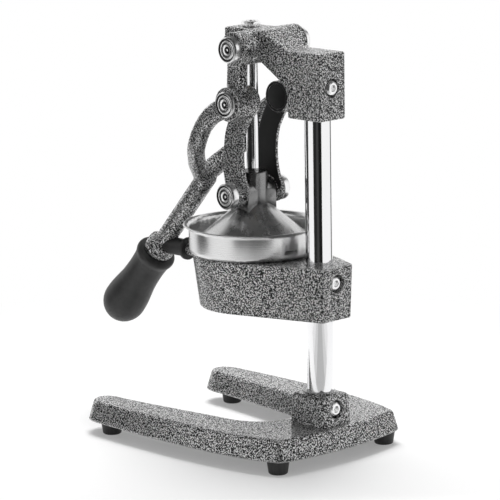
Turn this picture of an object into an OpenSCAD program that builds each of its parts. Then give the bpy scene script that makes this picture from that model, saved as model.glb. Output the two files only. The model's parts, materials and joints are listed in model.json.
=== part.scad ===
// Lever citrus press: a toggle linkage pushes a press cone into a strainer cup.
// Lengths are in millimetres. +Z is up, the lever reaches forward along -Y,
// and the column stands behind the cup.

/* [Feet] */
// Height of each rubber foot
foot_h = 12.7; // [9:0.1:20]
// Diameter of a foot where it meets the base
foot_d = 21; // [18:0.5:24]
// Diameter of a foot at the table
foot_tip_d = 18; // [14:0.5:20]

/* [Base] */
// Width across both legs along the top edge
base_w = 192; // [180:1:215]
// Thickness of the base casting
base_t = 20.3; // [17:0.1:28]
// Distance from the column to the leg tips
leg_reach = 226; // [200:1:250]
// Distance from the column to the middle of the back edge
base_back = 30; // [28:1:40]
// How far the corners of the back edge lie in front of its middle
back_bow = 9; // [4:0.5:12]
// Width between the corners of the back edge
back_w = 154; // [144:1:168]
// Gap between the legs at their tips
tip_gap = 132; // [122:1:140]
// Gap between the legs where they leave the bridge
root_gap = 100; // [92:1:108]
// Depth of the bridge that joins the legs
bridge_d = 62; // [56:1:70]
// How much the side walls spread from top to bottom
base_draft = 5.6; // [1:0.1:6]
// Wall of the hollow underside
base_wall = 6; // [4:0.5:9]
// Height of the clamp boss that holds the column
boss_h = 28; // [24:0.5:36]

/* [Column] */
// Diameter of the column
column_d = 25; // [22:0.5:27]

/* [Clamp blocks] */
// Width of the clamp block of the base
boss_w = 38; // [36:0.5:44]
// Distance from the column's axis to the back of a clamp block
clamp_back = 21; // [19.5:0.1:24]
// Diameter of a clamp bolt's head
bolt_head_d = 14.5; // [13:0.5:17]
// Thickness of a clamp bolt's head
bolt_head_t = 5.2; // [4.5:0.1:6]
// Diameter of the recess around a clamp bolt's head
bolt_recess_d = 17.5; // [17:0.5:19]
// Diameter of a clamp bolt's shank
bolt_d = 10; // [8:0.5:11]

/* [Cup bracket] */
// Height of the bracket's underside above the table
bracket_z = 133.2; // [115:0.1:160]
// Height of the bracket
bracket_h = 51.2; // [44:0.1:60]
// Distance from the column to the axis of the press
reach = 86; // [84:0.5:96]
// Outer radius of the bracket's ring at the top
ring_r = 59; // [55:0.5:60]
// How much the ring narrows from top to bottom
ring_draft = 6.5; // [3:0.5:9]
// Wall of the ring
ring_wall = 7.5; // [5:0.5:9]
// Diameter of the post that carries the lever stop
post_d = 13; // [11:0.5:16]
// Height of the post's axis above the bracket's underside
post_rise = 40.8; // [34:0.1:41]
// Diameter of the rubber buffer on the post
buffer_d = 17; // [14:0.5:20]

/* [Cup and strainer] */
// Outer radius of the cup's wall
cup_r = 62; // [58:0.1:64]
// Height of the cup
cup_h = 27.5; // [24:0.5:34]
// Thickness of the cup's and strainer's sheet
sheet = 1.2; // [0.8:0.1:1.6]
// How far the flared lip reaches beyond the cup's wall
lip = 5.5; // [3:0.1:6]
// Radius of the spout under the cup
spout_r = 14; // [11:0.5:17]
// Height of the reamer above the strainer's plate
reamer_h = 27; // [22:0.5:29]
// Radius of the reamer at its foot
reamer_r = 36; // [30:0.5:38]

/* [Press] */
// Outer radius of the press cone at its rim
cone_r = 48.5; // [45:0.5:50]
// Height of the press cone's rim above the bracket
cone_lift = 15.1; // [13:0.1:24]
// Height of the sloping part of the press cone
cone_h = 28.8; // [26:0.1:31]
// Height of the straight rim under the slope
rim_h = 3; // [2:0.5:4]
// Wall of the press cone
cone_wall = 2.4; // [2:0.1:3]
// Radius of the press cone's flat top
cone_top_r = 14; // [13:0.5:16]
// Diameter of the press rod
rod_d = 12; // [10:0.5:13]
// Height of the lower pins above the press cone's rim
pin_rise = 42; // [41.5:0.1:45]
// Height of the press block above its pins
block_rise = 20.5; // [17:0.5:26]
// Diameter of the press block's round middle
block_d = 27.2; // [23:0.1:29]
// Radius of the lugs on the press block
lug_r = 12; // [10.5:0.5:12.5]
// Half width of the press block across its lugs
lug_x = 18.4; // [17.5:0.1:19.5]

/* [Linkage] */
// Half width of the head
side_x = 17; // [16:0.5:19]
// Thickness of the links' upper eyes
link_t = 10.7; // [9:0.1:13]
// Thickness of the links' lower eyes
link_foot_t = 11; // [9:0.1:12]
// Thickness of the plate between a link's eyes
web_t = 4; // [3:0.5:6]
// How far the plate of a link lies outside the inner face of its lower eye
web_in = 1.4; // [0.5:0.1:3]
// Distance between the pins of a link
link_l = 91.2; // [86:0.1:98]
// Radius of a link's upper eye
link_eye_r = 15; // [13:0.5:15.5]
// Radius of a link's lower eye
link_foot_r = 13; // [12.5:0.5:14]
// Distance from the top pins to the knee pins
crank_l = 51.1; // [48:0.1:54]
// Forward lean of the lever's arms when the lever is down
crank_lean = 3.3; // [2:0.1:8]
// Distance from the press axis back to the top pins
hinge_back = 17.8; // [16:0.1:22]
// Diameter of the pivot pins
pin_d = 14; // [11:0.5:15]
// Diameter of the pins' turned heads
pin_head_d = 24.5; // [20:0.5:25]
// Thickness of the pins' heads
pin_head_t = 8; // [5:0.5:9]
// Thickness of the knee pins' heads
knee_head_t = 4.2; // [3:0.1:6]

/* [Head] */
// Radius of the bosses around the top pins
pivot_r = 16; // [14:0.5:16.5]
// Height of the head's clamp block
head_h = 62.4; // [54:0.1:72]
// Thickness of the guide platform
platform_t = 29.5; // [22:0.5:34]
// How far the platform reaches in front of the press axis
platform_nose = 18.7; // [13:0.1:20]
// Outer diameter of the guide bush
bush_d = 18; // [16:0.5:20]
// Distance across the flats of the rod's nut
nut_flats = 16; // [14:0.5:18]
// Height of the rod's nut
nut_h = 5; // [4:0.5:10]

/* [Lever] */
// Thickness of the lever's arms at the top pins
arm_t = 12.7; // [10:0.1:15]
// Extra thickness of the raised eyes at the knee pins
knee_t = 6; // [2:0.5:7]
// Width of the arms between their eyes
arm_w = 21.5; // [16:0.5:24]
// How far the arms lie below the faces of their eyes
arm_step = 1; // [0.5:0.1:2]
// Width of the curved tines
tine_w = 15.6; // [14:0.2:20]
// Thickness of the curved tines
tine_t = 14.5; // [12:0.5:15]
// Angle of the lever's rod from straight down
rod_lean = 41.4; // [38:0.1:44]
// Diameter of the lever's rod
lever_d = 19.5; // [17:0.5:22]
// Length of the lever's rod from the yoke to its collar
lever_l = 93.5; // [88:0.5:115]
// Diameter of the collar above the grip
collar_d = 29.5; // [24:0.5:32]
// Length of the collar
collar_l = 14; // [9:0.5:16]
// Length of the rubber grip
grip_l = 98; // [90:1:120]
// Largest diameter of the grip
grip_d = 43; // [40:0.5:46]

/* [Clearances] */
// Gap between a turning or sliding shaft and its bore, on the radius
run_fit = 0.05; // [0.02:0.01:0.1]
// Gap between faces that move past each other
side_gap = 0.3; // [0.2:0.05:0.5]
// Gap between fixed pieces where they are slid together
fixed_gap = 0.1; // [0.05:0.05:0.2]

/* [Hidden] */

// Finishes
hammertone = "dimgray";
bright = "silver";
satin = "gainsboro";
black_rubber = "black";

// Levels of the stack, from the table up
base_top = foot_h + base_t;
boss_top = base_top + boss_h;
bracket_top = bracket_z + bracket_h;
cup_floor = bracket_top;
cup_top = bracket_top + cup_h;
plate_z = cup_floor + sheet + 3;
cone_low = bracket_top + cone_lift;
cone_shoulder = cone_low + rim_h;
cone_top = cone_shoulder + cone_h;

// Pins of the linkage as [y, z], measured from the column's axis and the table
press_y = -reach;
pin3 = [press_y, cone_low + pin_rise];
pin1_y = press_y + hinge_back;
pin2_y = pin1_y - crank_l * sin(crank_lean);
pin2 = [pin2_y, pin3.y + sqrt(pow(link_l, 2) - pow(pin2_y - press_y, 2))];
pin1 = [pin1_y, pin2.y + crank_l * cos(crank_lean)];

// The head hangs on the top pins
platform_top = pin1.y + pivot_r;
platform_low = platform_top - platform_t;
platform_front = press_y - platform_nose;
head_top = pin1.y;
head_low = head_top - head_h;
column_floor = foot_h + base_wall + 2;
column_top = head_top - 8;

// Places across the linkage, from the middle outwards
link_x = side_x + side_gap;
link_low_x = lug_x + side_gap;
arm_x = link_x + link_t + side_gap;
lower_x = link_low_x + link_foot_t + side_gap;
knee_x = arm_x + arm_t + knee_t;

// The lever, in its lowered place
yoke = pin2 + [-80, -85];
rod_dir = [-sin(rod_lean), -cos(rod_lean)];
collar_at = yoke + lever_l * rod_dir;
grip_at = collar_at + collar_l * rod_dir;

// Set bolts
bolt_seat = clamp_back - bolt_head_t - 0.5;
bolt_hole_d = bolt_d + 2 * fixed_gap;

// Small shared sizes
soft = 1.6;
through = 1;
screw_d = 4.8;
screw_l = 16;
screw_head_d = 9;
screw_head_t = 2.8;
screw_seat = foot_h - 5;
foot_recess_d = screw_head_d + 1.5;
bracket_bolt_out = 1.4;
nut_r = link_eye_r - 3.3;
nut_t = 3.5;
grip_rim = 20;
grip_neck = 17.2;
spigot_d = 7;
spigot_l = 12;

// Curves
function bezier(a, b, c, d, n) =
  [for (i = [0:n - 1]) let (t = i / n, u = 1 - t)
    u * u * u * a + 3 * u * u * t * b + 3 * u * t * t * c + t * t * t * d];
function arc(centre, r, from, to, n) =
  [for (i = [0:n]) let (a = from + (to - from) * i / n) centre + r * [cos(a), sin(a)]];
function unit(v) = v / norm(v);

// Smooth curve through a list of points, with n steps between two of them
function between(p0, p1, p2, p3, t) =
  0.5 * (2 * p1 + (p2 - p0) * t + (2 * p0 - 5 * p1 + 4 * p2 - p3) * t * t
    + (3 * p1 - p0 - 3 * p2 + p3) * t * t * t);
function smooth(list, n) = let (last = len(list) - 1) concat(
  [for (i = [0:last - 1], k = [0:n - 1])
    between(list[max(i - 1, 0)], list[i], list[i + 1], list[min(i + 2, last)], k / n)],
  [list[last]]);

// Outline moved outwards by a distance; the outline runs anticlockwise
function grown(outline, by) =
  [for (i = [0:len(outline) - 1])
    let (n = len(outline), d = outline[(i + 1) % n] - outline[(i + n - 1) % n])
    outline[i] + by * unit([d.y, -d.x])];
function rounded(w, d, r, n = 4) =
  concat(arc([w / 2 - r, d / 2 - r], r, 0, 90, n), arc([r - w / 2, d / 2 - r], r, 90, 180, n),
    arc([r - w / 2, r - d / 2], r, 180, 270, n), arc([w / 2 - r, r - d / 2], r, 270, 360, n));
// Corners of an outline replaced by small curves of the given reach
function eased(points, r, n = 3) =
  [for (i = [0:len(points) - 1])
    let (m = len(points), p = points[i], a = unit(points[(i + m - 1) % m] - p),
      b = unit(points[(i + 1) % m] - p))
    for (k = [0:n]) let (t = k / n)
      p + r * (pow(1 - t, 2) * a + pow(t, 2) * b)];

// Triangles across a flat outline that bends: its points are joined in pairs, from the
// two ends of the list towards its middle
function across(list) =
  [for (i = [0:ceil(len(list) / 2) - 2])
    let (m = len(list), a = list[i], b = list[i + 1], c = list[m - 2 - i], d = list[m - 1 - i])
    each (b == c ? [[a, b, d]] : [[a, b, c], [a, c, d]])];
function from(start, n) = [for (i = [0:n - 1]) (start + i) % n];
function turned(face) = [for (i = [len(face) - 1:-1:0]) face[i]];

// Solid through a list of rings that all have the same number of points; a cap is a list
// of faces over one ring, and none is needed where the ring is convex
module skin(rings, cap = undef) {
  n = len(rings[0]);
  last = len(rings) - 1;
  low = is_undef(cap) ? [from(0, n)] : cap;
  high = [for (face = low) [for (i = turned(face)) last * n + i]];
  sides = [for (k = [0:last - 1], i = [0:n - 1])
    let (j = (i + 1) % n, a = k * n + i, b = k * n + j)
    each [[a, a + n, b + n], [a, b + n, b]]];
  polyhedron(points = [for (ring = rings) each ring], faces = concat(low, sides, high));
}

// Cast piece standing on z: each level is [z, growth of the outline]
module cast_up(outline, levels, cap = undef) {
  skin([for (level = levels) [for (p = grown(outline, level.y)) [p.x, p.y, level.x]]], cap);
}

// Cast piece lying across x, from an outline in y and z; its cap starts at a given point
module cast_across(outline, x0, x1, start, edge = soft) {
  levels = [[x0, -edge], [x0 + edge * 0.3, -edge * 0.3], [x0 + edge, 0],
    [x1 - edge, 0], [x1 - edge * 0.3, -edge * 0.3], [x1, -edge]];
  skin([for (level = levels) [for (p = grown(outline, level.y)) [level.x, p.x, p.y]]],
    across(from(start, len(outline))));
}

// Places a shape, drawn along z, on an axis along x at a pin
module on_pin(pin, x = 0) {
  translate([x, pin.x, pin.y]) rotate([0, 90, 0]) children();
}

// Mirrored copies: side is 1 for the right and -1 for the left
module sided(side) {
  if (side < 0) mirror([1, 0, 0]) children();
  else children();
}

// Everything is drawn from the column's axis and then moved to the middle of its box
module placed() {
  translate([0, column_y, 0]) children();
}

// Base
half_base = base_w / 2;
tip_y = -leg_reach;
root_y = base_back - bridge_d;
corner = [back_w / 2, base_back - back_bow];
inner_root = [root_gap / 2, root_y - 36];
inner_tip = [tip_gap / 2, tip_y + 13];
outer_tip = [half_base - 3, tip_y + 17];
half_outline = concat(
  bezier([0, root_y], [root_gap * 0.25, root_y], [root_gap * 0.44, root_y - 6], inner_root, 10),
  bezier(inner_root, inner_root + [4, -45], inner_tip + [-1, 45], inner_tip, 11),
  bezier(inner_tip, inner_tip + [2, -18], outer_tip + [-1, -22], outer_tip, 9),
  bezier(outer_tip, outer_tip + [5, 84], corner + [19, -45], corner + [0.8, -5], 12),
  bezier(corner + [0.8, -5], corner, corner, corner + [-5, 1.2], 4),
  bezier(corner + [-5, 1.2], corner + [-20, 5], [30, base_back], [0, base_back], 6),
  [[0, base_back]]);
half_count = len(half_outline);
base_outline = concat(half_outline,
  [for (i = [half_count - 2:-1:1]) [-half_outline[i].x, half_outline[i].y]]);
base_cap = concat(across([for (i = [0:half_count - 1]) i]),
  across([for (i = [half_count - 1:2 * half_count - 2]) i % (2 * half_count - 2)]));

// Foot places as [x, y]
front_foot = [(tip_gap + base_w) / 4, tip_y + foot_d / 2 + 11];
back_foot = corner - [foot_d / 2 - 4.5, foot_d / 2 - 3.5];
foot_places = [front_foot, back_foot];

// Furthest reach of the whole press, forwards and backwards
grip_swell = grip_d / 2;
grip_curve = concat([[0, grip_rim - 3]],
  bezier([0.5, grip_rim - 2], [1.5, grip_rim], [5, grip_rim + 0.4], [8, grip_rim - 0.8], 6),
  bezier([8, grip_rim - 0.8], [11, grip_neck], [0.3 * grip_l, grip_neck - 0.4],
    [0.46 * grip_l, grip_neck + 1], 6),
  bezier([0.46 * grip_l, grip_neck + 1], [0.6 * grip_l, grip_swell - 1.4],
    [0.66 * grip_l, grip_swell], [0.77 * grip_l, grip_swell], 6),
  bezier([0.77 * grip_l, grip_swell], [0.9 * grip_l, grip_swell],
    [grip_l, grip_swell * 0.56], [grip_l, 3], 10),
  [[grip_l, 3], [grip_l, 0]]);
reach_front = min([for (p = grip_curve) grip_at.x - p.x * sin(rod_lean) - p.y * cos(rod_lean)]);
reach_back = base_back + base_draft;
column_y = -(reach_front + reach_back) / 2;

module clamp_hole(z) {
  translate([0, 0, z]) rotate([-90, 0, 0]) {
    cylinder(d = bolt_hole_d, h = clamp_back + 10, $fn = 48);
    translate([0, 0, bolt_seat]) cylinder(d = bolt_recess_d, h = 20, $fn = 64);
  }
}

module clamp_bolt(z) {
  translate([0, 0, z]) rotate([-90, 0, 0]) difference() {
    union() {
      translate([0, 0, column_d / 2 + fixed_gap])
        cylinder(d = bolt_d, h = bolt_seat - column_d / 2, $fn = 48);
      translate([0, 0, bolt_seat]) rotate_extrude($fn = 64)
        polygon(concat([[0, 0]],
          [for (t = [0:0.2:1]) [bolt_head_d / 2 * sqrt(1 - t * t * 0.55), bolt_head_t * (0.25 + 0.75 * t)]],
          [[0, bolt_head_t]]));
    }
    translate([0, 0, bolt_seat + bolt_head_t - 3.2])
      cylinder(d = 6.9, h = 4, $fn = 6);
  }
}

base_bolt_z = base_top + boss_h * 0.53;
bracket_bolt_z = bracket_z + bracket_h * 0.68;
head_bolt_z = head_low + head_h * 0.48;

module base_pocket() {
  translate([0, 0, foot_h - through])
    linear_extrude(base_t - base_wall + through) difference() {
      offset(delta = -base_wall) polygon(base_outline);
      circle(r = column_d / 2 + 8, $fn = 48);
      for (side = [-1, 1], place = foot_places)
        translate([side * place.x, place.y]) circle(d = foot_d, $fn = 32);
      for (side = [-1, 1]) {
        translate([side * back_w * 0.27, 0]) square([5, bridge_d * 2], center = true);
        for (rib_y = [0.45, 0.7])
          translate([side * half_base * 0.82, tip_y * rib_y]) square([half_base, 5], center = true);
      }
    }
}

module base_casting() {
  color(hammertone) difference() {
    union() {
      difference() {
        cast_up(base_outline, [[foot_h, base_draft - 0.8], [foot_h + 1, base_draft],
          [base_top - 2.4, 0.5], [base_top - 0.8, -0.5], [base_top, -2.2]], base_cap);
        base_pocket();
      }
      translate([0, (clamp_back - boss_w / 2 - 3) / 2, 0])
        cast_up(rounded(boss_w, clamp_back + boss_w / 2 + 3, 5), [[base_top - 3, 1.6], [base_top, 1.2],
          [boss_top - 4, 0], [boss_top - 1.6, -0.8], [boss_top - 0.4, -2.2], [boss_top, -3.4]]);
      translate([0, 0, boss_top - 1])
        cylinder(r1 = column_d / 2 + 4, r2 = column_d / 2 + 2, h = 3.2, $fn = 64);
    }
    translate([0, 0, column_floor]) cylinder(r = column_d / 2 + run_fit, h = boss_top, $fn = 96);
    clamp_hole(base_bolt_z);
    for (side = [-1, 1], place = foot_places)
      translate([side * place.x, place.y, foot_h - through])
        cylinder(d = screw_d + 2 * run_fit, h = screw_l - 3 + through, $fn = 32);
  }
}

module foot(side, place) {
  color(black_rubber) translate([side * place.x, place.y, 0]) difference() {
    rotate_extrude($fn = 64) polygon([[0, 0], [foot_tip_d / 2 - 1, 0], [foot_tip_d / 2, 1],
      [foot_d / 2, foot_h - 1.5], [foot_d / 2, foot_h], [0, foot_h]]);
    translate([0, 0, -through]) cylinder(d = foot_recess_d, h = screw_seat + through, $fn = 48);
    cylinder(d = screw_d + 2 * fixed_gap, h = foot_h + through, $fn = 32);
  }
}

module foot_screws() {
  color(bright) for (side = [-1, 1], place = foot_places)
    translate([side * place.x, place.y, screw_seat]) difference() {
      union() {
        translate([0, 0, -screw_head_t]) cylinder(d = screw_head_d, h = screw_head_t, $fn = 48);
        cylinder(d = screw_d, h = screw_l, $fn = 32);
      }
      translate([0, 0, -screw_head_t - through])
        cylinder(d = screw_head_d * 0.4, h = screw_head_t * 0.6 + through, $fn = 6);
    }
}

module column() {
  chamfer = 1;
  color(bright) translate([0, 0, column_floor]) rotate_extrude($fn = 96)
    polygon([[0, 0], [column_d / 2 - chamfer, 0], [column_d / 2, chamfer],
      [column_d / 2, column_top - column_floor - chamfer],
      [column_d / 2 - chamfer, column_top - column_floor], [0, column_top - column_floor]]);
}

// Cup bracket
post_z = bracket_z + post_rise;
buffer_tip = yoke.x + (post_z - yoke.y) * tan(rod_lean) + 8;
buffer_l = 31;
flange_t = 4.5;
post_end = buffer_tip + buffer_l;

module cup_bracket() {
  clamp_half = side_x + 3.2;
  color(hammertone) difference() {
    union() {
      hull() for (level = [[0, -1.2], [1.2, 0], [bracket_h - 1.4, 0], [bracket_h - 0.02, -1.4]]) {
        spread = ring_draft * (level.x / bracket_h - 1) + level.y;
        translate([0, press_y, bracket_z + level.x]) cylinder(r = ring_r + spread, h = 0.02, $fn = 96);
        for (side = [-1, 1])
          translate([side * (clamp_half - 3), clamp_back, bracket_z + level.x])
            cylinder(r = 3.5 + spread * 0.3, h = 0.02, $fn = 24);
      }
      translate([0, press_y - ring_r + ring_wall, post_z]) rotate([90, 0, 0])
        cylinder(d = post_d, h = press_y - ring_r + ring_wall - post_end, $fn = 64);
      translate([0, post_end + 0.2, post_z]) rotate([90, 0, 0])
        cylinder(d = spigot_d, h = spigot_l, $fn = 32);
    }
    translate([0, press_y, bracket_z - through])
      cylinder(r1 = ring_r - ring_draft - ring_wall, r2 = ring_r - ring_wall,
        h = bracket_h + 2 * through, $fn = 96);
    translate([0, 0, bracket_z - through])
      cylinder(r = column_d / 2 + run_fit, h = bracket_h + 2 * through, $fn = 96);
    translate([0, bracket_bolt_out, 0]) clamp_hole(bracket_bolt_z);
  }
}

// The rubber buffer ends in a saddle that the lever's rod comes down into
module stop_buffer() {
  core = post_d / 2 + 3.5;
  color(black_rubber) difference() {
    translate([0, post_end, post_z]) rotate([90, 0, 0]) difference() {
      union() {
        rotate_extrude($fn = 64) polygon([[0, 0], [core, 0], [core + 1, 1],
          [core + 1, flange_t - 1], [buffer_d / 2, flange_t], [0, flange_t]]);
        cylinder(d = buffer_d, h = buffer_l, $fn = 64);
      }
      translate([0, 0, -through])
        cylinder(d = spigot_d + 2 * fixed_gap, h = spigot_l + through, $fn = 32);
    }
    along_lever(yoke) cylinder(r = lever_d / 2 + side_gap, h = lever_l, $fn = 96);
    along_lever(collar_at) translate([0, 0, -1])
      cylinder(r = collar_d / 2 + 2 * side_gap, h = collar_l + grip_l, $fn = 96);
  }
}

// Cup
spout_end = bracket_z + 8;
throat = [spout_r, bracket_top - 24];
funnel_r = ring_r - ring_wall - 2;
skirt_r = cup_r - 8;
module drip_cup() {
  r = cup_r;
  bend = 5;
  slot_w = 14;
  slot_h = 5.4;
  hole_r = funnel_r + fixed_gap;
  hem = sheet / 2;
  flare = lip - sheet;
  flare_at = [r + flare, cup_top - flare - sheet];
  outer = concat([[hole_r, cup_floor]], arc([r - bend, cup_floor + bend], bend, 270, 360, 6),
    arc(flare_at, flare, 180, 100, 6), [[r + lip - hem, cup_top - sheet], [r + lip, cup_top - hem]]);
  inner = concat([[r + lip - hem, cup_top]], arc(flare_at, flare + sheet, 100, 180, 6),
    arc([r - bend, cup_floor + bend], bend - sheet, 360, 270, 6), [[hole_r, cup_floor + sheet]]);
  color(satin) difference() {
    translate([0, press_y, 0]) rotate_extrude($fn = 128) polygon(concat(outer, inner));
    for (turn = [-41, 79, 199])
      translate([0, press_y, cup_floor + bend + slot_h / 2]) rotate([0, 0, turn]) translate([r, 0, 0])
        rotate([0, 90, 0]) linear_extrude(6, center = true) union() {
          square([slot_h, slot_w - slot_h], center = true);
          for (end = [-1, 1]) translate([0, end * (slot_w - slot_h) / 2]) circle(d = slot_h, $fn = 24);
        }
  }
}

// The funnel hangs in the cup's floor by its flange and ends in the spout
module funnel() {
  flange_r = skirt_r - sheet - side_gap;
  seat = cup_floor + sheet;
  color(satin) translate([0, press_y, 0]) rotate_extrude($fn = 128) polygon([
    [throat.x, spout_end], throat, [funnel_r, cup_floor - 1], [funnel_r, seat], [flange_r, seat],
    [flange_r, seat + sheet], [funnel_r - sheet, seat + sheet], [funnel_r - sheet, cup_floor],
    throat + [-sheet, 0.6], [spout_r - sheet, spout_end]]);
}

module strainer() {
  plate_r = cup_r - sheet - 1.5;
  tip_r = 7;
  slope = concat([[reamer_r, 0]],
    bezier([reamer_r - 2, 1], [reamer_r * 0.6, 5], [reamer_r * 0.38, reamer_h * 0.72],
      [tip_r * 0.75, reamer_h - 1.6], 8),
    [[tip_r * 0.75, reamer_h - 1.6], [tip_r * 0.4, reamer_h - 0.4], [0, reamer_h]]);
  count = len(slope);
  rib_foot = [reamer_r * 0.74, 1.5];
  rib_top = [tip_r * 0.62, reamer_h - 1];
  rib = rib_top - rib_foot;
  color(satin) translate([0, press_y, plate_z]) difference() {
    union() {
      rotate_extrude($fn = 96) polygon(concat(
        [[plate_r, 0], [plate_r, sheet]],
        [for (p = slope) p + [p.x > 0 ? 0.6 * sheet : 0, sheet]],
        [for (i = [count - 1:-1:0]) slope[i]]));
      rotate_extrude($fn = 96) polygon([[skirt_r - sheet, cup_floor + sheet - plate_z],
        [skirt_r, cup_floor + sheet - plate_z], [skirt_r, 0.5], [skirt_r - sheet, 0.5]]);
      for (k = [0:11]) rotate([0, 0, k * 30]) translate([rib_foot.x, 0, rib_foot.y])
        rotate([0, atan2(rib.x, rib.y), 0]) cylinder(d1 = 3, d2 = 2, h = norm(rib), $fn = 24);
    }
    for (k = [0:23]) rotate([0, 0, k * 15]) translate([(skirt_r + reamer_r) / 2 - 0.5, 0, -through])
      linear_extrude(sheet + 2 * through) union() {
        square([5, 3], center = true);
        for (end = [-2.5, 2.5]) translate([end, 0]) circle(d = 3, $fn = 16);
      }
  }
}

// Head
module head_casting() {
  block_front = -(column_d / 2 + 10);
  neck_low = [block_front, head_top - 35];
  knee_low = [pin1.x + 11, platform_low];
  outline = eased([[clamp_back - 1.5, head_low], [clamp_back - 1.5, head_top],
    [block_front - 2, head_top], [pin1.x + 14, platform_top], [platform_front, platform_top],
    [platform_front, platform_low], knee_low, neck_low, [block_front, head_low]], 2);
  color(hammertone) difference() {
    union() {
      cast_across(outline, -side_x, side_x, 20);
      on_pin(pin1, -(arm_x - side_gap)) cylinder(r = pivot_r, h = 2 * (arm_x - side_gap), $fn = 96);
    }
    translate([0, 0, head_low - through]) cylinder(r = column_d / 2 + run_fit,
      h = column_top + side_gap - head_low + through, $fn = 96);
    clamp_hole(head_bolt_z);
    translate([0, press_y, platform_low - through]) cylinder(d = bush_d + 2 * run_fit,
      h = platform_t - 5 + through, $fn = 64);
    translate([0, press_y, platform_low]) cylinder(d = rod_d + 1, h = platform_t + through, $fn = 64);
    for (side = [-1, 1]) sided(side) on_pin(pin1, side_x - 5)
      cylinder(d = pin_d - 2 + 2 * run_fit, h = 40, $fn = 64);
  }
}

module rod_bush() {
  color("peru") translate([0, press_y, platform_low]) difference() {
    cylinder(d = bush_d, h = platform_t - 5, $fn = 64);
    translate([0, 0, -through]) cylinder(r = rod_d / 2 + run_fit, h = platform_t, $fn = 64);
  }
}

// Turned head of a pivot pin: chamfered rim, ring groove, raised ring and centre mark
module pin_head(t = pin_head_t) {
  r = pin_head_d / 2;
  rotate_extrude($fn = 96) polygon([[0, 0], [r - 0.6, 0], [r, 0.6], [r, t - 1.4], [r - 1.4, t],
    [r - 3, t], [r - 3.3, t - 0.9], [r - 4.6, t - 0.9], [r - 4.9, t], [r - 7, t], [r - 7.3, t - 0.6],
    [1.6, t - 0.6], [0, t - 2.2]]);
}

module top_pin(side) {
  seat = arm_x + arm_t + side_gap;
  color(bright) sided(side) union() {
    on_pin(pin1, seat) pin_head();
    on_pin(pin1, arm_x - side_gap) cylinder(d = pin_d, h = seat - arm_x + side_gap + 0.5, $fn = 64);
    on_pin(pin1, side_x - 4.5) cylinder(d = pin_d - 2, h = arm_x - side_x + 6, $fn = 64);
  }
}

module knee_pin(side) {
  color(bright) sided(side) union() {
    on_pin(pin2, knee_x) pin_head(knee_head_t);
    on_pin(pin2, arm_x) cylinder(d = pin_d, h = knee_x - arm_x + 0.5, $fn = 64);
  }
}

module lower_pin(side) {
  color(bright) sided(side) union() {
    on_pin(pin3, lower_x) pin_head();
    on_pin(pin3, lug_x) cylinder(d = pin_d, h = lower_x - lug_x + 0.5, $fn = 64);
    on_pin(pin3, block_d / 2 - 5) cylinder(d = pin_d - 4, h = lug_x - block_d / 2 + 6, $fn = 48);
  }
}

// Press
module press_rod() {
  bottom = cone_top + fixed_gap;
  shoulder = platform_top + side_gap;
  color(bright) difference() {
    union() {
      translate([0, press_y, bottom]) cylinder(d = rod_d, h = shoulder - bottom, $fn = 64);
      translate([0, press_y, shoulder - 1]) cylinder(d = rod_d - 3, h = nut_h + 0.6, $fn = 48);
    }
    translate([0, press_y, bottom - through]) cylinder(d = 6 + 2 * run_fit, h = 12 + through, $fn = 32);
  }
}

module rod_nut() {
  corner_d = nut_flats / cos(30);
  color(bright) translate([0, press_y, platform_top + side_gap]) difference() {
    intersection() {
      cylinder(d = corner_d, h = nut_h, $fn = 6);
      rotate_extrude($fn = 64) polygon([[0, 0], [nut_flats / 2, 0], [corner_d / 2 + 0.2, 1],
        [corner_d / 2 + 0.2, nut_h - 1.2], [nut_flats / 2 - 0.3, nut_h], [0, nut_h]]);
    }
    translate([0, 0, -through]) cylinder(d = rod_d - 3 + 2 * run_fit, h = nut_h + 2 * through, $fn = 48);
  }
}

// Outside of the press cone, grown by a gap
module cone_outside(gap) {
  rotate_extrude($fn = 96) polygon([[0, 0], [cone_r + gap, 0], [cone_r + gap, rim_h],
    [cone_top_r + gap, rim_h + cone_h + gap], [0, rim_h + cone_h + gap]]);
}

module press_block() {
  low = cone_low + rim_h;
  color(satin) difference() {
    union() {
      translate([0, press_y, low]) cylinder(d = block_d, h = pin3.y + block_rise - low - 1, $fn = 96);
      translate([0, press_y, pin3.y + block_rise - 1])
        cylinder(d1 = block_d, d2 = block_d - 2, h = 1, $fn = 96);
      on_pin(pin3, -lug_x) cylinder(r = lug_r, h = 2 * lug_x, $fn = 96);
      translate([-lug_x, press_y - lug_r, low]) cube([2 * lug_x, 2 * lug_r, pin3.y - low]);
    }
    translate([0, press_y, cone_low]) cone_outside(fixed_gap);
    translate([0, press_y, low]) cylinder(r = rod_d / 2 + run_fit, h = 100, $fn = 64);
    for (side = [-1, 1]) sided(side) on_pin(pin3, block_d / 2 - 5.5)
      cylinder(d = pin_d - 4 + 2 * run_fit, h = 40, $fn = 48);
  }
}

module press_cone() {
  w = cone_wall;
  color(satin) translate([0, press_y, cone_low]) difference() {
    cone_outside(0);
    rotate_extrude($fn = 96) polygon([[0, -through], [cone_r - w, -through], [cone_r - w, rim_h - w * 0.4],
      [cone_top_r - w * 0.4, rim_h + cone_h - w], [0, rim_h + cone_h - w]]);
    translate([0, 0, -through]) cylinder(d = 6 + 2 * fixed_gap, h = 100, $fn = 32);
  }
}

module cone_screw() {
  seat = cone_top - cone_wall;
  color(bright) translate([0, press_y, seat]) difference() {
    union() {
      translate([0, 0, -3.5]) cylinder(d = 11, h = 3.5, $fn = 48);
      cylinder(d = 6, h = cone_wall + 10, $fn = 32);
    }
    translate([0, 0, -3.5 - through]) cylinder(d = 5, h = 2.2 + through, $fn = 6);
  }
}

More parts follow.
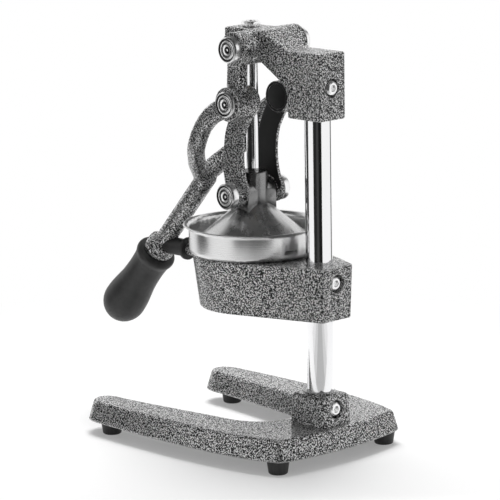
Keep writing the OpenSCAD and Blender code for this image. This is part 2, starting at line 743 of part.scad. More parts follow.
// Links: a bent plate between two round eyes
link_back = smooth([pin3 + [link_foot_r - 0.5, -3], pin3 + [17, 6], pin3 + [14, 13],
  pin3 + [10.6, 27], pin2 + [-4.6, -46], pin2 + [-1.6, -31], pin2 + [4, -20],
  pin2 + [link_eye_r * 0.72, -link_eye_r * 0.68]], 3);
link_front = smooth([pin2 + [-link_eye_r + 0.4, -1], pin2 + [-18.5, -11], pin2 + [-24, -22],
  pin2 + [-28.4, -35], pin2 + [-30, -49], pin3 + [-16.8, 27], pin3 + [-15.6, 18],
  pin3 + [-link_foot_r - 0.4, 5]], 3);
link_outline = concat(link_back, arc(pin2, link_eye_r - 0.6, -30, 172, 12), link_front,
  arc(pin3, link_foot_r - 0.6, 176, 336, 10));

// Round eye with broken edges, standing on z
module eye(r, t) {
  edge = 0.8;
  rotate_extrude($fn = 96)
    polygon([[0, 0], [r - edge, 0], [r, edge], [r, t - edge], [r - edge, t], [0, t]]);
}

module link(side) {
  web_x = link_low_x + web_in;
  color(hammertone) sided(side) difference() {
    union() {
      cast_across(link_outline, web_x, web_x + web_t, len(link_outline) - 6, 1);
      on_pin(pin2, link_x) eye(link_eye_r, link_t);
      on_pin(pin3, link_low_x) eye(link_foot_r, link_foot_t);
    }
    on_pin(pin2, link_x - through) {
      cylinder(r = pin_d / 2 - 1 + run_fit, h = link_t + 2 * through, $fn = 64);
      cylinder(r = nut_r + fixed_gap, h = nut_t + through, $fn = 64);
    }
    on_pin(pin3, link_x - through)
      cylinder(r = pin_d / 2 + run_fit, h = link_foot_t + 4 * through, $fn = 64);
  }
}

module knee_nut(side) {
  color("black") sided(side) union() {
    on_pin(pin2, link_x) cylinder(r = nut_r, h = nut_t, $fn = 64);
    on_pin(pin2, link_x + nut_t - 0.5)
      cylinder(r = pin_d / 2 - 1, h = link_t - nut_t + 0.5 - side_gap, $fn = 64);
  }
}

// Lever
// Stations of the right tine as [x, y, z, width, thickness], y and z from the knee pin
tine_x = (arm_x + knee_x) / 2;
stations = [
  [tine_x, -5, -3, tine_w + 4, tine_t], [tine_x, -17, -7.2, tine_w + 4, tine_t],
  [tine_x, -30.8, -14.6, tine_w + 1.6, tine_t], [tine_x, -42.8, -26.8, tine_w, tine_t],
  [tine_x - 1, -51.2, -40.7, tine_w, tine_t], [tine_x - 6, -59.4, -51.2, tine_w, tine_t],
  [tine_x - 15, -68.5, -61.2, tine_w + 1, tine_t], [13, -77, -72, tine_w + 3, tine_t]
];
crotch = [-84, -83];
// Ring of points around a middle: a box of two widths, along two directions, with round corners
function box_ring(middle, across_dir, across_w, flat_dir, flat_w) =
  [for (k = [0:19])
    let (c = cos(k * 18), s = -sin(k * 18))
    middle + across_w / 2 * sign(c) * pow(abs(c), 0.6) * across_dir
      + flat_w / 2 * sign(s) * pow(abs(s), 0.6) * flat_dir];

// Both tines in one solid: they meet in a ring that stands in the middle plane
module wishbone() {
  line = smooth(stations, 2);
  last = len(line) - 1;
  right = [for (i = [0:last])
    let (at = line[i], a = line[max(i - 1, 0)], b = line[min(i + 1, last)],
      along = unit([b.x - a.x, b.y - a.y, b.z - a.z]),
      flat = unit([0, -along.z, along.y]), outer = cross(along, flat))
    box_ring([at.x, pin2.x + at.y, pin2.y + at.z], outer, at[4], flat, at[3])];
  middle = box_ring([0, pin2.x + crotch.x, pin2.y + crotch.y], [0, rod_dir.x, rod_dir.y],
    tine_t * 1.8, [0, -rod_dir.y, rod_dir.x], tine_w + 3);
  left = [for (i = [last:-1:0]) [for (p = right[i]) [-p.x, p.y, p.z]]];
  skin(concat(right, [middle], left));
}

module along_lever(at) {
  translate([0, at.x, at.y]) rotate([-rod_lean, 0, 0]) mirror([0, 0, 1]) children();
}

module lever_casting() {
  ridge = collar_d / 2;
  color(hammertone) difference() {
    union() {
      for (side = [-1, 1]) sided(side) {
        on_pin(pin1, arm_x) cylinder(r = pivot_r, h = arm_t, $fn = 96);
        on_pin(pin2, arm_x) cylinder(r = pivot_r, h = knee_x - arm_x, $fn = 96);
        translate([arm_x + arm_step, pin2.x, pin2.y]) rotate([-crank_lean, 0, 0])
          linear_extrude(crank_l) translate([arm_t / 2 - arm_step, 0])
            polygon(rounded(arm_t - 2 * arm_step, arm_w, arm_t * 0.36, 6));
      }
      wishbone();
      along_lever(yoke) translate([0, 0, -4]) cylinder(d = lever_d, h = lever_l + 5, $fn = 64);
      along_lever(collar_at) rotate_extrude($fn = 64) polygon([[0, 0], [ridge - 2, 0], [ridge, 1.5],
        [ridge, collar_l * 0.36], [ridge - 1.6, collar_l * 0.44], [ridge - 1.6, collar_l * 0.56],
        [ridge, collar_l * 0.64], [ridge, collar_l - 1.5], [ridge - 1.5, collar_l], [0, collar_l]]);
      along_lever(grip_at) translate([0, 0, -1]) cylinder(d = lever_d - 3, h = grip_l * 0.82, $fn = 64);
    }
    for (side = [-1, 1]) sided(side) {
      on_pin(pin1, arm_x - through)
        cylinder(r = pin_d / 2 + run_fit, h = arm_t + 2 * through, $fn = 64);
      on_pin(pin2, arm_x - through)
        cylinder(r = pin_d / 2 + run_fit, h = knee_x - arm_x + 2 * through, $fn = 64);
    }
  }
}

module hand_grip() {
  color(black_rubber) along_lever(grip_at) difference() {
    rotate_extrude($fn = 96) polygon(concat([[0, 0]], [for (p = grip_curve) [p.y, p.x]]));
    translate([0, 0, -through]) cylinder(d = lever_d - 3 + 2 * fixed_gap,
      h = grip_l * 0.82 + through, $fn = 64);
  }
}

placed() base_casting();
placed() foot(-1, front_foot);  // foot_front_left
placed() foot(1, front_foot);  // foot_front_right
placed() foot(-1, back_foot);  // foot_back_left
placed() foot(1, back_foot);  // foot_back_right
placed() foot_screws();
placed() column();
placed() clamp_bolt(base_bolt_z);  // base_clamp_bolt
placed() translate([0, bracket_bolt_out, 0]) clamp_bolt(bracket_bolt_z);  // bracket_clamp_bolt
placed() clamp_bolt(head_bolt_z);  // head_clamp_bolt
placed() cup_bracket();
placed() stop_buffer();
placed() drip_cup();
placed() funnel();
placed() strainer();
placed() head_casting();
placed() rod_bush();
placed() top_pin(-1);  // top_pin_left
placed() top_pin(1);  // top_pin_right
placed() lever_casting();
placed() knee_pin(-1);  // knee_pin_left
placed() knee_pin(1);  // knee_pin_right
placed() hand_grip();
placed() press_rod();
placed() rod_nut();
placed() press_block();
placed() press_cone();
placed() cone_screw();
placed() lower_pin(-1);  // lower_pin_left
placed() lower_pin(1);  // lower_pin_right
placed() link(-1);  // link_left
placed() link(1);  // link_right
placed() knee_nut(-1);  // knee_nut_left
placed() knee_nut(1);  // knee_nut_right
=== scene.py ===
# %% [markdown]
# A hand lever citrus press, dressed in Blender.
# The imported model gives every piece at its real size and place, in metres: +Z is up, the
# lever and the legs reach forward along -Y, the column stands at +Y, and +X is the side
# that the pieces call right. This script adds the looks around that frame: soft edges,
# paint, chrome, brushed sheet and rubber. Nothing of the frame is moved. Each piece is
# copied, the copy gets its edges and its finish, and the copy then stands for the node.

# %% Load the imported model
import json
import math

import bpy
from mathutils import Matrix, Vector

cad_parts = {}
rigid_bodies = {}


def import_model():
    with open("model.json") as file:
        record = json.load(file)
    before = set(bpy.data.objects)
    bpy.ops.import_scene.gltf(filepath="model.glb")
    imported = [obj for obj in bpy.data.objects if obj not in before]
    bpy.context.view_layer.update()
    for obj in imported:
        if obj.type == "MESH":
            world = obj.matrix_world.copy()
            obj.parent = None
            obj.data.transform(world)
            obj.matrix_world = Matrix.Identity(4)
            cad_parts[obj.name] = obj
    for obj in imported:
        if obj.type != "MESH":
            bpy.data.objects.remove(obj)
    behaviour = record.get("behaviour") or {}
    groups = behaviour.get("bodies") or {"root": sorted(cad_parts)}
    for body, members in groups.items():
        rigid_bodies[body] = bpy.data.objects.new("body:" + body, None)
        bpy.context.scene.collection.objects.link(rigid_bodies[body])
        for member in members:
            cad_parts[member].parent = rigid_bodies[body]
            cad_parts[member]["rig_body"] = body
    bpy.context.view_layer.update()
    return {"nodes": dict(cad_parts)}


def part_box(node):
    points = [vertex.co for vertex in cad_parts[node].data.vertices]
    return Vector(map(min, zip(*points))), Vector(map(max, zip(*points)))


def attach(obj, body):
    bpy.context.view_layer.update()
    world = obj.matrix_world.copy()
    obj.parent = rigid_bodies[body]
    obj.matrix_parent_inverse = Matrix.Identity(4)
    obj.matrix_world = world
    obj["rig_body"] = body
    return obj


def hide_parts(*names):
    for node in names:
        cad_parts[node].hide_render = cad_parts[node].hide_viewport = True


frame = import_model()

MM = 0.001

# %% [markdown]
# The axes of the machine are read from the frame, so that a pattern or a card that is
# placed by them follows the model when a size changes. They could be written down as
# numbers, but those would go stale. The column, the press rod and three pivot pins are all
# that is needed, because the left pins lie on the same axes as the right ones.

# %% Axes of the machine
def middle(node):
    """The middle of a node's box."""
    low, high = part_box(node)
    return (low + high) / 2


column_axis = middle("column")
press_axis = middle("press_rod")
top_pins = middle("top_pin_right")
knee_pins = middle("knee_pin_right")
lower_pins = middle("lower_pin_right")
print("column axis y", round(column_axis.y, 4), "press axis y", round(press_axis.y, 4))

# %% [markdown]
# The camera repeats the photograph's view: from behind and to the right of the press, a
# little above it, through a long lens. Its place was fitted to known points of the object,
# and is kept here as three angles, a distance and a point to look at. A camera can also be
# aimed by a constraint, but a matrix holds the small roll as well. The matrix has the
# camera's right, up and backward directions as columns.

# %% Camera at the photograph's angle
PICTURE_SIDE = 500
FOCAL_PIXELS = 2920.1
SENSOR_MM = 36.0
AZIMUTH = math.radians(135.9)
ELEVATION = math.radians(11.7)
ROLL = math.radians(-0.9)
CAMERA_DISTANCE = 2.7286
FARTHEST_SEEN = 50
looked_at = Vector((0.031, column_axis.y - 0.060, 0.1935))

backward = Vector((math.sin(AZIMUTH) * math.cos(ELEVATION),
                   -math.cos(AZIMUTH) * math.cos(ELEVATION), math.sin(ELEVATION)))
level_right = (-backward).cross(Vector((0, 0, 1))).normalized()
level_up = level_right.cross(-backward)
camera_right = level_right * math.cos(ROLL) + level_up * math.sin(ROLL)
camera_up = level_up * math.cos(ROLL) - level_right * math.sin(ROLL)

bpy.ops.object.camera_add()
camera = bpy.context.object
camera.name = "photo_camera"
camera.data.sensor_width = SENSOR_MM
camera.data.lens = FOCAL_PIXELS / PICTURE_SIDE * SENSOR_MM
camera.data.clip_end = FARTHEST_SEEN
turn = Matrix((camera_right, camera_up, backward)).transposed().to_4x4()
camera.matrix_world = Matrix.Translation(looked_at + backward * CAMERA_DISTANCE) @ turn
bpy.context.scene.camera = camera
print("lens", round(camera.data.lens, 1), "mm")

# %% [markdown]
# A finish is a small network of nodes. It could be wired node by node, but shader maths
# reads best as plain expressions. A Wire holds one output socket, and its operators add
# Math nodes, so that 1 - mask or mask * 0.4 can be written as they are. All other nodes
# come from one method of Nodes, which takes the node's type, its settings and what goes
# into its sockets.

# %% A small language for materials
class Wire:
    """An output socket that can be added, subtracted and multiplied like a number."""

    def __init__(self, nodes, socket):
        self.nodes = nodes
        self.socket = socket

    def maths(self, operation, first, second=0.0):
        return self.nodes.node("ShaderNodeMath", {"operation": operation}, {0: first, 1: second})

    def __add__(self, other):
        return self.maths("ADD", self, other)

    def __radd__(self, other):
        return self.maths("ADD", other, self)

    def __sub__(self, other):
        return self.maths("SUBTRACT", self, other)

    def __rsub__(self, other):
        return self.maths("SUBTRACT", other, self)

    def __mul__(self, other):
        return self.maths("MULTIPLY", self, other)

    def __rmul__(self, other):
        return self.maths("MULTIPLY", other, self)

    def sine(self):
        return self.maths("SINE", self)

    def band(self, low, high):
        """0 below low, 1 above high, and a soft step between them."""
        return self.nodes.node("ShaderNodeMapRange", {"interpolation_type": "SMOOTHSTEP"},
                               {"Value": self, "From Min": low, "From Max": high})


class Nodes:
    """The nodes of one material, or of the world."""

    def __init__(self, tree):
        self.tree = tree

    def feed(self, node, socket, value):
        if isinstance(value, Wire):
            self.tree.links.new(value.socket, node.inputs[socket])
        else:
            node.inputs[socket].default_value = value

    def node(self, kind, settings=None, inputs=None, output=0):
        made = self.tree.nodes.new(kind)
        for name, value in (settings or {}).items():
            if name == "stops":
                ramp = made.color_ramp.elements
                while len(ramp) < len(value):
                    ramp.new(0.5)
                for stop, (place, colour) in zip(ramp, value):
                    stop.position = place
                    stop.color = colour
            else:
                setattr(made, name, value)
        for socket, value in (inputs or {}).items():
            self.feed(made, socket, value)
        return Wire(self, made.outputs[output])

    def place(self, centre=(0, 0, 0), turn=(0, 0, 0), scale=(1, 1, 1)):
        """Object coordinates, moved so that a centre is at zero, then turned and scaled."""
        raw = self.node("ShaderNodeTexCoord", output="Object")
        moved = self.vector("SUBTRACT", raw, tuple(centre))
        return self.node("ShaderNodeMapping", {"vector_type": "POINT"},
                         {"Vector": moved, "Rotation": turn, "Scale": scale})

    def vector(self, operation, first, second):
        return self.node("ShaderNodeVectorMath", {"operation": operation}, {0: first, 1: second})

    def length(self, place):
        """How far a place is from zero."""
        return self.node("ShaderNodeVectorMath", {"operation": "LENGTH"}, {0: place}, "Value")

    def radius(self, place):
        """How far a place is from its Z axis."""
        return self.length(self.vector("MULTIPLY", place, (1, 1, 0)))

    def noise(self, place, per_metre, detail):
        return self.node("ShaderNodeTexNoise", None,
                         {"Vector": place, "Scale": per_metre, "Detail": detail})

    def mix(self, share, dark, light):
        """A colour between two others; the colour sockets of a Mix node are 6 and 7."""
        return self.node("ShaderNodeMix", {"data_type": "RGBA"},
                         {0: share, 6: dark, 7: light}, 2)


class Finish(Nodes):
    """One material: its constants are set on the shader, its patterns are added as nodes."""

    def __init__(self, name, **constants):
        self.material = bpy.data.materials.new(name)
        self.material.use_nodes = True
        super().__init__(self.material.node_tree)
        self.shader = self.tree.nodes["Principled BSDF"]
        self.set(**constants)

    def set(self, **sockets):
        for socket, value in sockets.items():
            self.feed(self.shader, socket.replace("_", " "), value)

    def bump(self, pattern, depth, strength):
        self.set(Normal=self.node("ShaderNodeBump", None, {
            "Height": pattern, "Distance": depth, "Strength": strength}))


def grey(level, blue=0.0):
    return (level, level, level * (1 + blue), 1.0)


print("a colour is written as", grey(0.5))

# %% [markdown]
# Hammertone paint dries into a maze of black veins and silver worms, about two millimetres
# from one vein to the next. Cells or a drawn picture could stand for it, but plain noise
# that is cut hard near its middle value gives just such a maze. The cut lies a little above
# the middle, so the veins are wider than the worms. One mask drives colour, metal, gloss
# and height: the silver holds the flake and stands proud of the veins.
# Noise is weak along the planes of its own grid, and would fade on faces that lie in one.
# So its coordinates are turned to an angle that no face of the press has.
# Pointiness tells how sharply a surface bends. From it comes a painted highlight
# along every convex edge, and painted shade in every hollow.

# %% Hammertone paint
VEINS_PER_METRE = 900.0
WORM_CUT = (0.52, 0.55)
EDGE_HIGHLIGHT_BEND = (0.52, 0.56)
OPEN_SURFACE = (0.44, 0.495)
WORM_HEIGHT = 0.6 * MM
TILT = (0.5, 0.8, 0.3)


def hammertone(name):
    paint = Finish(name, IOR=1.5, Coat_Roughness=0.15)
    place = paint.place(turn=TILT)
    worms = paint.noise(place, VEINS_PER_METRE, detail=0.0).band(*WORM_CUT)
    patches = paint.noise(place, 90.0, detail=2.0)
    flake = paint.noise(place, 4200.0, detail=1.0)
    silver = paint.mix(patches * 0.5 + flake * 0.5, grey(0.80), grey(1.0))
    maze = paint.mix(worms, grey(0.002), silver)
    # Painted highlight on convex edges and painted shade in hollows, both read from pointiness
    bend = paint.node("ShaderNodeNewGeometry", output="Pointiness")
    edge_highlight = paint.mix(bend.band(*EDGE_HIGHLIGHT_BEND) * 0.60, maze, grey(0.95))
    hollow_shade = 1 - bend.band(*OPEN_SURFACE)
    paint.set(Base_Color=paint.mix(hollow_shade * 0.8, edge_highlight, grey(0.005)), Metallic=worms * 0.30,
              Roughness=0.55 - worms * 0.27, Coat_Weight=0.15 + worms * 0.85)
    paint.bump(worms, WORM_HEIGHT, strength=1.0)
    return paint.material


painted = hammertone("hammertone_paint")
print(painted.name, len(painted.node_tree.nodes), "nodes")

# %% [markdown]
# The column and the press rod are chrome bars. Chrome shows what stands around it, and its
# own surface only as faint draw lines and clouds. Light and dark stripes could be painted
# on it, but they would be wrong from every other side. So the bars are plain mirrors here,
# with a little pattern in roughness and bump, and the stripes come from cards that stand
# around the press, further down.

# %% Chrome
UPRIGHT_STREAKS = (1, 1, 0.02)


def chrome(name):
    plate = Finish(name, Base_Color=grey(0.90, blue=0.01), Metallic=1.0)
    lines = plate.noise(plate.place(scale=UPRIGHT_STREAKS), 900.0, detail=3.0)
    clouds = plate.noise(plate.place(), 45.0, detail=2.0)
    plate.set(Roughness=0.035 + lines * 0.05 + clouds * 0.04)
    plate.bump(lines, 0.02 * MM, strength=0.3)
    return plate.material


plated = chrome("chrome_plate")
print(plated.name, len(plated.node_tree.nodes), "nodes")

# %% [markdown]
# Pins, bolts and screws are turned on a lathe, which leaves fine rings about their axis.
# Rings could be cut in the mesh, but half a millimetre apart they are a matter of bump: the
# sine of the distance from the axis. The axis is brought to zero and turned to lie along Z
# first. The heads of the pivot pins also have bright lands and dark grooves, which come
# from a ramp over the same distance; the dark of the grooves is painted shade.

# %% Turned steel
ALONG_X = (0, math.radians(90), 0)
ALONG_Y = (math.radians(90), 0, 0)
ALONG_Z = (0, 0, 0)
TOOL_PITCH = 0.45 * MM
RINGED_RADIUS = 12.25 * MM

# Tone of a turned pin head from its centre to its rim: bright lands, and dark grooves painted as
# shade
PIN_RINGS_WITH_PAINTED_SHADE = ((0.00, grey(0.90)), (0.08, grey(0.90)), (0.12, grey(0.02)), (0.26, grey(0.04)),
             (0.30, grey(1.00)), (0.40, grey(1.00)), (0.44, grey(0.12)), (0.56, grey(0.18)),
             (0.60, grey(1.00)), (0.70, grey(1.00)), (0.74, grey(0.02)), (0.84, grey(0.05)),
             (0.88, grey(0.60)), (0.98, grey(0.80)), (1.02, grey(0.95)))
PLAIN_RINGS = ((0.0, grey(0.90)), (1.0, grey(0.97)))


def turned(name, centre, direction, rings=PLAIN_RINGS):
    steel = Finish(name, Metallic=1.0)
    place = steel.place(centre, direction)
    radius = steel.radius(place)
    tone = steel.node("ShaderNodeValToRGB", {"stops": rings},
                      {"Fac": radius * (1 / RINGED_RADIUS)})
    cuts = (radius * (2 * math.pi / TOOL_PITCH)).sine() * 0.5 + 0.5
    grain = steel.noise(place, 700.0, detail=2.0)
    steel.set(Base_Color=tone, Roughness=0.16 + cuts * 0.08 + grain * 0.10)
    steel.bump(cuts * 0.7 + grain * 0.3, 0.03 * MM, strength=0.5)
    return steel.material


turned_top = turned("turned_steel_top", top_pins, ALONG_X, PIN_RINGS_WITH_PAINTED_SHADE)
turned_knee = turned("turned_steel_knee", knee_pins, ALONG_X, PIN_RINGS_WITH_PAINTED_SHADE)
turned_lower = turned("turned_steel_lower", lower_pins, ALONG_X, PIN_RINGS_WITH_PAINTED_SHADE)
turned_upright = turned("turned_steel_upright", press_axis, ALONG_Z)
print("turned finishes", 4)

# %% [markdown]
# The cup is spun from sheet and brushed while it turns, so its fine lines run round it.
# Anisotropy could stretch its highlights, but then the lines themselves would be missing.
# Here they are noise that changes fast with height and radius, and not at all with the
# angle, with a few broad smears from handling.

# %% Brushed sheet
SHEET_LEVEL = 0.74


def brushed(name, centre):
    sheet = Finish(name, Metallic=1.0)
    place = sheet.place(centre)
    height = sheet.node("ShaderNodeSeparateXYZ", None, {0: place}, "Z")
    track = sheet.node("ShaderNodeCombineXYZ", None, {"X": sheet.radius(place), "Y": height})
    lines = sheet.noise(track, 2600.0, detail=3.0)
    smears = sheet.noise(place, 26.0, detail=2.0)
    tone = sheet.mix(lines * 0.6 + smears * 0.4, grey(SHEET_LEVEL * 0.9),
                     grey(SHEET_LEVEL * 1.08))
    sheet.set(Base_Color=tone, Roughness=0.21 + lines * 0.08 + smears * 0.06)
    sheet.bump(lines, 0.02 * MM, strength=0.3)
    return sheet.material


brushed_cup = brushed("brushed_sheet", press_axis)
print("brushed finish", brushed_cup.name)

# %% [markdown]
# The press cone and its block are cast in a pale metal and only cleaned up, so they keep an
# even satin grain without any direction. A smooth metal would look like chrome, so fine
# noise drives the bump, and slow clouds change tone and gloss. The block is the darker one.

# %% Satin castings
def satin(name, level):
    metal = Finish(name, Metallic=1.0)
    place = metal.place()
    grain = metal.noise(place, 1900.0, detail=2.0)
    clouds = metal.noise(place, 110.0, detail=3.0)
    metal.set(Base_Color=metal.mix(clouds, grey(level * 0.82), grey(level * 1.12)),
              Roughness=0.20 + clouds * 0.10 + grain * 0.06)
    metal.bump(grain, 0.03 * MM, strength=0.35)
    return metal.material


satin_cone = satin("satin_cone", 0.60)
satin_block = satin("satin_block", 0.27)
print("satin finishes", satin_cone.name, satin_block.name)

# %% [markdown]
# Rubber is nearly black and gives a broad, soft highlight. One flat black would look like a
# cut-out, so it has a fine pebble from the mould and a little dust. Bronze and blacked
# steel are seen only in small places, and get a cloudy tone of their own.

# %% Rubber, bronze and blacked steel
def rubber(name):
    skin = Finish(name, IOR=1.5, Metallic=0.0)
    place = skin.place()
    pebble = skin.noise(place, 1500.0, detail=3.0)
    dust = skin.noise(place, 90.0, detail=4.0)
    skin.set(Base_Color=skin.mix(dust.band(0.35, 0.8), grey(0.022), grey(0.042)),
             Roughness=0.42 + dust * 0.16)
    skin.bump(pebble, 0.06 * MM, strength=0.45)
    return skin.material


def clouded(name, low, high, metallic, roughness):
    metal = Finish(name, Metallic=metallic)
    place = metal.place()
    clouds = metal.noise(place, 140.0, detail=4.0)
    metal.set(Base_Color=metal.mix(clouds, low, high), Roughness=roughness + clouds * 0.15)
    metal.bump(metal.noise(place, 1200.0, detail=2.0), 0.04 * MM, strength=0.4)
    return metal.material


black_rubber = rubber("black_rubber")
bronze = clouded("sintered_bronze", (0.50, 0.33, 0.13, 1), (0.66, 0.47, 0.22, 1), 1.0, 0.34)
blacked = clouded("blacked_steel", grey(0.008), grey(0.016), 0.2, 0.45)
print("dark finishes", black_rubber.name, bronze.name, blacked.name)

# %% [markdown]
# A CAD node is a fixed reference: it isn't moved and its mesh isn't changed. So each piece
# starts as a copy of its node's mesh. The CAD mesh is loose triangles, which are merged
# first, so that the modifiers find one closed skin. A finished copy rides on the node's
# body and stands for the node.

# %% Copy, change and finish a piece
MERGE_DISTANCE = 0.002 * MM


def select_only(piece):
    bpy.ops.object.select_all(action="DESELECT")
    piece.select_set(True)
    bpy.context.view_layer.objects.active = piece


def merged_copy(node, name):
    """A copy of a node with its loose triangles joined into one skin."""
    piece = bpy.data.objects.new(name, frame["nodes"][node].data.copy())
    bpy.context.scene.collection.objects.link(piece)
    select_only(piece)
    bpy.ops.object.mode_set(mode="EDIT")
    bpy.ops.mesh.select_all(action="SELECT")
    bpy.ops.mesh.remove_doubles(threshold=MERGE_DISTANCE)
    bpy.ops.object.mode_set(mode="OBJECT")
    return piece


def apply_modifier(piece, kind, **settings):
    modifier = piece.modifiers.new(kind.title(), kind)
    for name, value in settings.items():
        setattr(modifier, name, value)
    select_only(piece)
    bpy.ops.object.modifier_apply(modifier=modifier.name)


def finish_piece(piece, node, material, shade_degrees):
    """Smooth shading, one material, and the piece stands for its node on the same body."""
    select_only(piece)
    bpy.ops.object.shade_smooth_by_angle(angle=math.radians(shade_degrees))
    piece.data.materials.clear()
    piece.data.materials.append(material)
    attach(piece, frame["nodes"][node]["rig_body"])
    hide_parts(node)


# %% [markdown]
# A sand casting has no sharp edge: the paint and the fettling leave every corner round and
# every inner corner filled. A bevel rounds outer corners only, and fails where many curved
# faces meet. So the castings are rebuilt in small even cells (voxel remesh) and smoothed,
# which rounds outer corners and fills inner ones together. The cells are as small as the
# size of each mesh allows, because an edge is rounded by about one cell.

# %% Castings
CASTING_CELLS = {
    "base_casting": 1.15 * MM, "cup_bracket": 0.9 * MM, "head_casting": 0.7 * MM,
    "lever_casting": 0.77 * MM, "link_left": 0.8 * MM, "link_right": 0.8 * MM,
}


def cast_piece(node, cell):
    piece = merged_copy(node, node + "_painted")
    apply_modifier(piece, "REMESH", mode="VOXEL", voxel_size=cell)
    apply_modifier(piece, "SMOOTH", factor=0.5, iterations=1)
    finish_piece(piece, node, painted, shade_degrees=60)
    return piece


for node, cell in CASTING_CELLS.items():
    piece = cast_piece(node, cell)
    print(piece.name, len(piece.data.loops) - 2 * len(piece.data.polygons), "triangles")

# %% [markdown]
# The inner faces of the two links are near-black, without the hammertone. They could be pieces
# of their own, but a second material slot on the same mesh is enough. Those faces point at
# the middle of the press, so they are found by their normal.

# %% Blacked inner faces of the links
POINTS_INWARD = 0.8
for side, name in ((-1, "link_left_painted"), (1, "link_right_painted")):
    link = bpy.data.objects[name]
    link.data.materials.append(blacked)
    inner = [face for face in link.data.polygons if face.normal.x * side < -POINTS_INWARD]
    for face in inner:
        face.material_index = 1
    print(name, len(inner), "blacked faces")

# %% [markdown]
# Machined, spun and moulded pieces keep crisp edges, but even those catch a thin line of
# light, which a perfectly sharp edge never does. Remeshing would blur them, so they get a
# narrow bevel instead. The triangles of their flat faces are dissolved first, so that only
# true edges are bevelled.

# %% Machined, sheet and rubber pieces
EDGE_WIDTH = 0.25 * MM
FLAT_WITHIN = math.radians(0.5)
EDGE_FROM = math.radians(38)
MACHINED = {
    "column": plated, "press_rod": plated, "rod_nut": turned_upright,
    "top_pin_left": turned_top, "top_pin_right": turned_top,
    "knee_pin_left": turned_knee, "knee_pin_right": turned_knee,
    "lower_pin_left": turned_lower, "lower_pin_right": turned_lower,
    "drip_cup": brushed_cup, "funnel": brushed_cup, "strainer": brushed_cup,
    "press_cone": satin_cone, "press_block": satin_block, "cone_screw": turned_upright,
    "knee_nut_left": blacked, "knee_nut_right": blacked, "rod_bush": bronze,
    "hand_grip": black_rubber, "stop_buffer": black_rubber,
    "foot_front_left": black_rubber, "foot_front_right": black_rubber,
    "foot_back_left": black_rubber, "foot_back_right": black_rubber,
}


def machined_piece(node, material):
    piece = merged_copy(node, node + "_dressed")
    bpy.ops.object.mode_set(mode="EDIT")
    bpy.ops.mesh.select_all(action="SELECT")
    bpy.ops.mesh.dissolve_limited(angle_limit=FLAT_WITHIN)
    bpy.ops.object.mode_set(mode="OBJECT")
    apply_modifier(piece, "BEVEL", width=EDGE_WIDTH, segments=2, limit_method="ANGLE",
                   angle_limit=EDGE_FROM, harden_normals=False)
    finish_piece(piece, node, material, shade_degrees=32)
    print(piece.name, len(piece.data.polygons), "faces")


for node, material in MACHINED.items():
    machined_piece(node, material)

# %% [markdown]
# The three clamp bolts lie along Y at three heights, and a turned finish has its rings about
# one axis. One shared material would put the rings off centre on two of them, so each bolt
# gets a material about its own middle. The foot screws are hidden in the feet and share
# the upright finish.

# %% Clamp bolts and foot screws
for node in ("base_clamp_bolt", "bracket_clamp_bolt", "head_clamp_bolt"):
    machined_piece(node, turned("turned_" + node, middle(node), ALONG_Y))
machined_piece("foot_screws", turned_upright)

# %% [markdown]
# The stage is a plain pale floor that keeps the shadow. More light would make it white, but
# would bleach the object too. So to the camera and in reflections the floor and the world
# are bright by themselves, and to the light that bounces between surfaces they are a darker
# grey, which leaves a colour on the object about as it is written. Near the press most of
# the floor's tone is paint, which shows the shadow, and further out it turns into a plain
# white glow.

# %% Floor and world
GLOW_NEAR = 0.26
GLOW_GROWS = (0.20, 0.62)
SKY_FILL = 0.27


def seen_directly(nodes):
    """1 for camera, glossy and transmission rays, 0 for bounced light."""
    camera_ray, glossy_ray, through_ray = (
        nodes.node("ShaderNodeLightPath", output=kind)
        for kind in ("Is Camera Ray", "Is Glossy Ray", "Is Transmission Ray"))
    return camera_ray + glossy_ray + through_ray


bpy.ops.mesh.primitive_circle_add(vertices=64, radius=6.0, fill_type="NGON")
floor = bpy.context.object
floor.name = "floor"
paint = Finish("floor_paint", Roughness=0.95)
paint.set(Base_Color=paint.mix(seen_directly(paint), grey(0.40), grey(0.97)))
glow = paint.node("ShaderNodeEmission", None, {"Color": grey(1.0), "Strength": 1.0})
growth = paint.length(paint.place()).band(*GLOW_GROWS)
share = seen_directly(paint) * (GLOW_NEAR + growth * (1 - GLOW_NEAR))
blend = paint.node("ShaderNodeMixShader", None, {
    0: share, 1: Wire(paint, paint.shader.outputs["BSDF"]), 2: glow})
paint.feed(paint.tree.nodes["Material Output"], "Surface", blend)
floor.data.materials.append(paint.material)

world = bpy.data.worlds.new("studio")
bpy.context.scene.world = world
world.use_nodes = True
sky = Nodes(world.node_tree)
backdrop = world.node_tree.nodes["Background"]
sky.feed(backdrop, "Color", grey(1.0))
sky.feed(backdrop, "Strength", seen_directly(sky) * (1 - SKY_FILL) + SKY_FILL)
print("floor", tuple(round(side, 2) for side in floor.dimensions), "sky fill", SKY_FILL)

# %% [markdown]
# Chrome in front of a white world would vanish, so a photographer stands dark cards around
# it, out of the picture. Each card here is seen only in reflections, and has its own grey.
# On an upright round bar, the strip of surface that faces half way between the camera and a
# card shows that card. So a card at an angle of 2a from the camera is a band at the sine of
# a across the bar, and the bands in the photograph give the angles of the standing cards.
# Three more cards lie just above the floor, each darker and narrower than the one below it,
# and shade the floor that the bars and the cup mirror. One last card hangs above the
# press, and darkens what faces up.

# %% Dark cards
def aimed(thing, place, target):
    thing.location = place
    thing.rotation_euler = (Vector(target) - Vector(place)).to_track_quat("-Z", "Y").to_euler()


def card(name, place, size, level, target):
    bpy.ops.mesh.primitive_plane_add(size=1)
    sheet = bpy.context.object
    sheet.name = name
    sheet.scale = (size[0], size[1], 1)
    aimed(sheet, place, target)
    cover = Finish(name + "_cover", Base_Color=grey(0.0), Roughness=1.0,
                   Specular_IOR_Level=0.0, Emission_Color=grey(level), Emission_Strength=1.0)
    sheet.data.materials.append(cover.material)
    sheet.visible_camera = False
    sheet.visible_diffuse = False
    sheet.visible_shadow = False
    return sheet


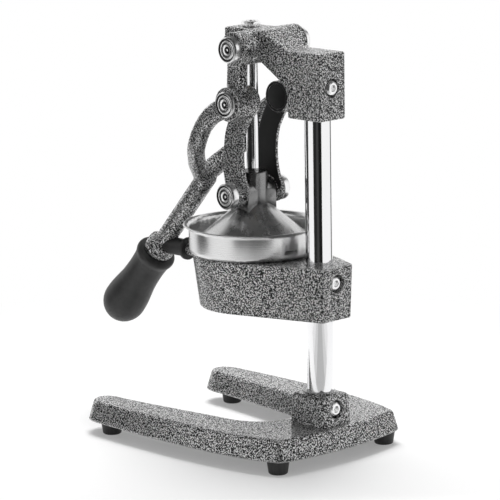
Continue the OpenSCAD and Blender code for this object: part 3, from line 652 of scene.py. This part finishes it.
def between_angles(first, last, distance):
    """The middle angle, the place and the width that fill a sector round the column."""
    angle = math.radians((first + last) / 2)
    width = 2 * distance * math.tan(math.radians(abs(last - first) / 2))
    return (angle, column_axis.x + distance * math.sin(angle),
            column_axis.y - distance * math.cos(angle), width)


def standing_card(name, first, last, level, distance=0.62, height=1.0):
    angle, x, y, width = between_angles(first, last, distance)
    card(name, (x, y, height / 2), (width, height), level,
         (column_axis.x, column_axis.y, height / 2))


def lying_card(name, first, last, level, lift, near=0.14, far=0.60):
    angle, x, y, width = between_angles(first, last, (near + far) / 2)
    sheet = card(name, (x, y, lift), (width, far - near), level, (x, y, -1))
    sheet.rotation_euler = (0, 0, angle)


standing_card("card_front", 18, 45, 0.04)
standing_card("card_left", 93, 119, 0.02)
standing_card("card_middle", 119, 138, 0.05, distance=0.55)
standing_card("card_right", 138, 164, 0.01)
standing_card("card_far", 257, 276, 0.06)
lying_card("card_low_wide", 92, 180, 0.84, lift=1 * MM)
lying_card("card_low_middle", 104, 166, 0.68, lift=2 * MM)
lying_card("card_low_narrow", 118, 152, 0.50, lift=3 * MM)
card("card_above", (press_axis.x, press_axis.y, 1.30), (2.1, 2.1), 0.06,
     (press_axis.x, press_axis.y, 0))

# %% [markdown]
# Small lamps would give hard shadows, so two large ones give the plain light: a strong one
# above, a little in front and to the left, which makes the top faces the palest, and a weak
# one behind the press to the right, on the camera's side. Neither shows in reflections.

# %% Lamps
LAMP_SIDE = 1.2


def soft_lamp(name, place, watts):
    bpy.ops.object.light_add(type="AREA")
    lamp = bpy.context.object
    lamp.name = name
    lamp.data.shape = "SQUARE"
    lamp.data.size = LAMP_SIDE
    lamp.data.energy = watts
    lamp.visible_glossy = False
    aimed(lamp, place, looked_at)
    print(name, watts, "W")


soft_lamp("top_lamp", (-0.4, -0.4, 1.8), 39)
soft_lamp("side_lamp", (1.6, 1.6, 0.9), 1.0)

# %% [markdown]
# The view settings stay plain, so that colours are shown as they are.

# %% View settings
bpy.context.scene.view_settings.view_transform = "Standard"
